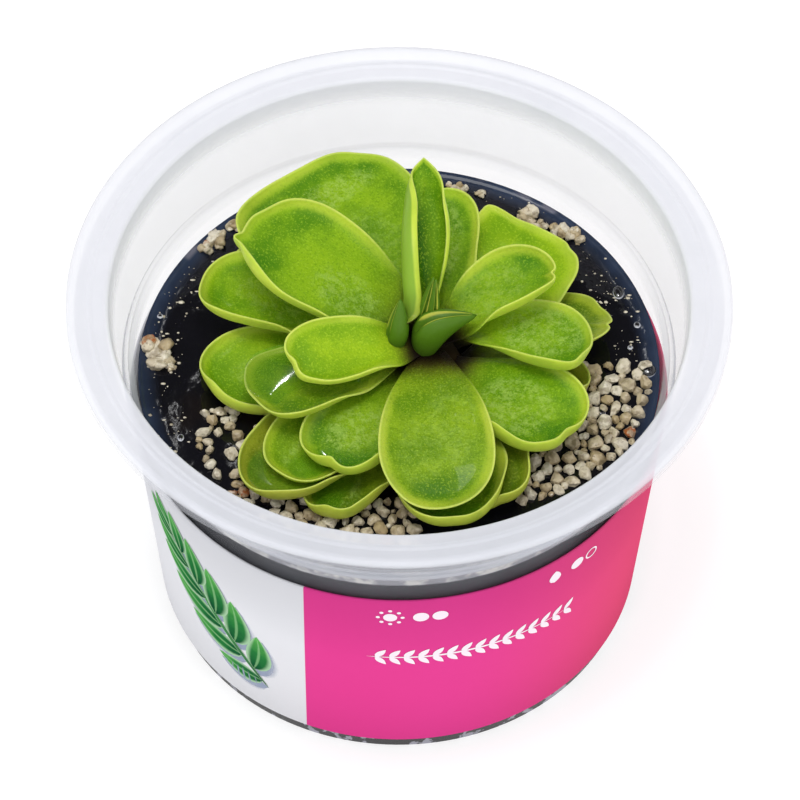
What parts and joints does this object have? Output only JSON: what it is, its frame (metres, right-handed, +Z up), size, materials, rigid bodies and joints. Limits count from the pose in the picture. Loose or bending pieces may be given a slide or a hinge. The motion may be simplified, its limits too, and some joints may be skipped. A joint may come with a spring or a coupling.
{
  "type": "butterwort in a clear cup of culture gel",
  "caption": "Rosette of broad, curled-edge butterwort leaves on black culture gel with perlite, in a clear flanged plastic cup with a printed sleeve label.",
  "frame": {"origin": "centre of the cup's foot, on the surface it stands on", "axes": "+Z up along the cup's axis; -Y is the side seen from the front; +X to its right"},
  "size_m": [0.095, 0.095, 0.0711],
  "materials": {
    "cup_plastic": "satin",
    "label_film": "satin",
    "culture_gel": "gloss",
    "perlite": "matte",
    "crown_tissue": "satin",
    "leaf": "satin"
  },
  "bodies": {
    "root": {"cup": "cup_plastic", "label": "label_film", "gel": "culture_gel", "perlite_front_right": "perlite", "perlite_front": "perlite", "perlite_front_left": "perlite", "perlite_left": "perlite", "perlite_back_left": "perlite", "perlite_back_right": "perlite", "crown": "crown_tissue", "outer_leaf_1": "leaf", "outer_leaf_2": "leaf", "outer_leaf_3": "leaf", "outer_leaf_4": "leaf", "outer_leaf_5": "leaf", "outer_leaf_6": "leaf", "outer_leaf_7": "leaf", "outer_leaf_8": "leaf", "outer_leaf_9": "leaf", "outer_leaf_10": "leaf", "middle_leaf_1": "leaf", "middle_leaf_2": "leaf", "middle_leaf_3": "leaf", "middle_leaf_4": "leaf", "middle_leaf_5": "leaf", "middle_leaf_6": "leaf", "inner_leaf_1": "leaf", "inner_leaf_2": "leaf", "inner_leaf_3": "leaf", "inner_leaf_4": "leaf", "inner_leaf_5": "leaf", "inner_leaf_6": "leaf", "inner_leaf_7": "leaf"}
  },
  "joints": []
}
